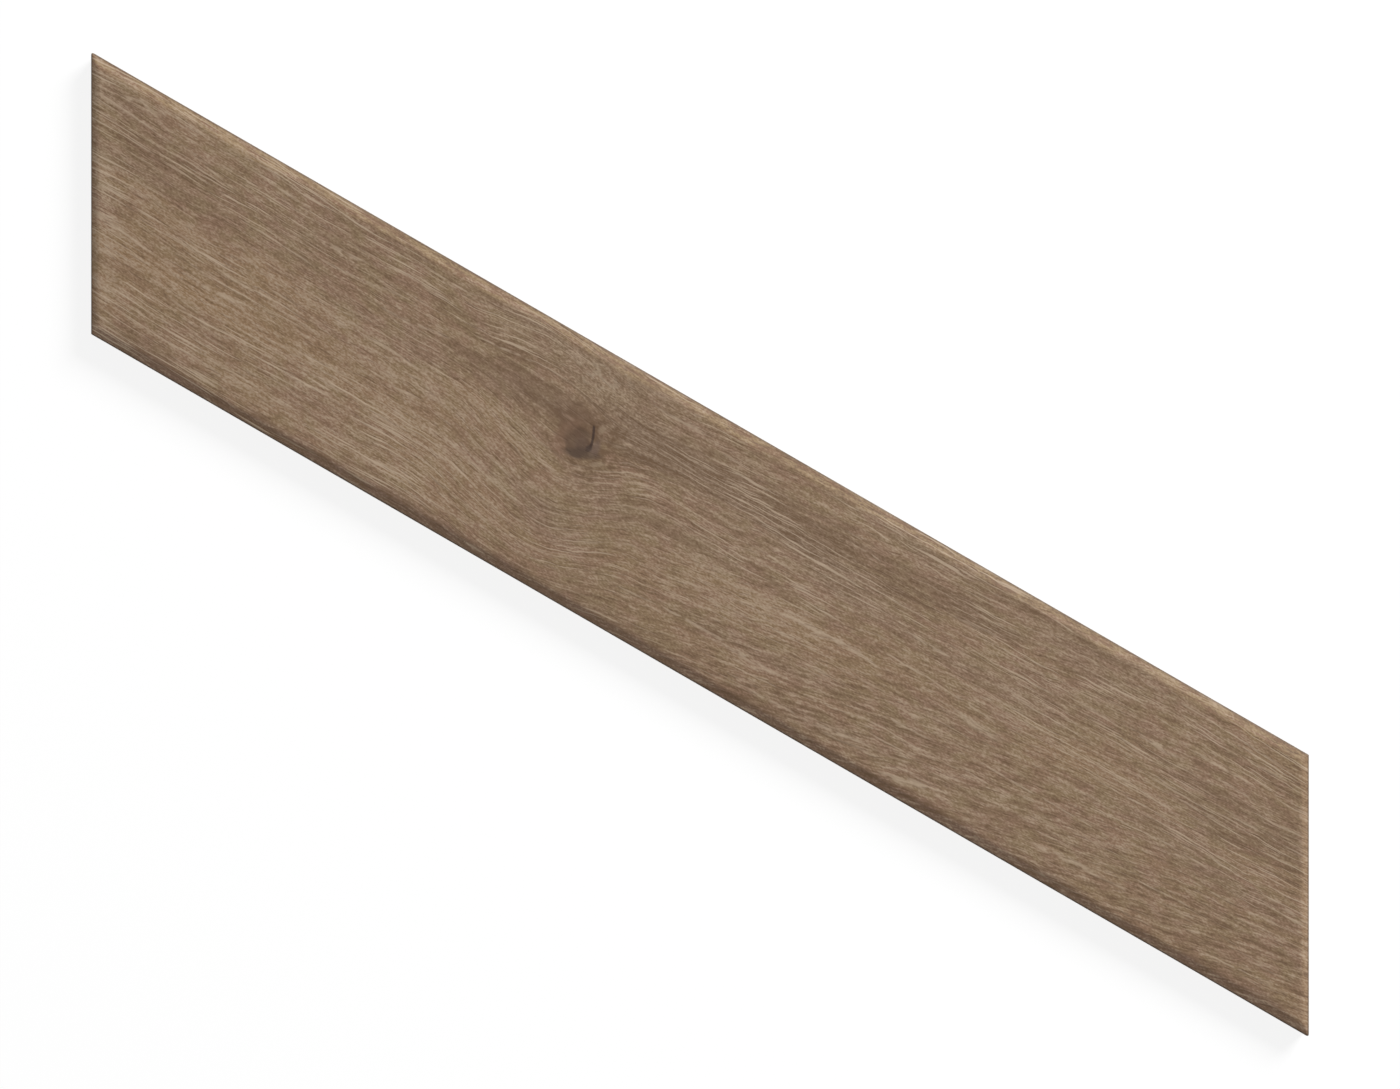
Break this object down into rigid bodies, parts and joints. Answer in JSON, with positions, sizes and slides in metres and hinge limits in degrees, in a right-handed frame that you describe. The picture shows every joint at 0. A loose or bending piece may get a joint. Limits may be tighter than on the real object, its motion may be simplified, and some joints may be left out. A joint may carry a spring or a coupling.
{
  "type": "chevron wall tile",
  "caption": "Long slanted-end ceramic tile with a pressed bevel round its matt, wood-look face and a keyed back, for laying in a chevron pattern.",
  "frame": {"origin": "middle of the back, on the plane of the ribs that the tile lies on", "axes": "+X along the long edges, towards the end whose sharp corner is at the near edge; +Y across the tile, towards the far long edge; +Z out of the face"},
  "size_m": [0.5054, 0.08, 0.009],
  "materials": {
    "porcelain": "matt glaze with a printed oak grain on the face"
  },
  "bodies": {
    "root": {"chevron_tile": "porcelain"}
  },
  "joints": []
}
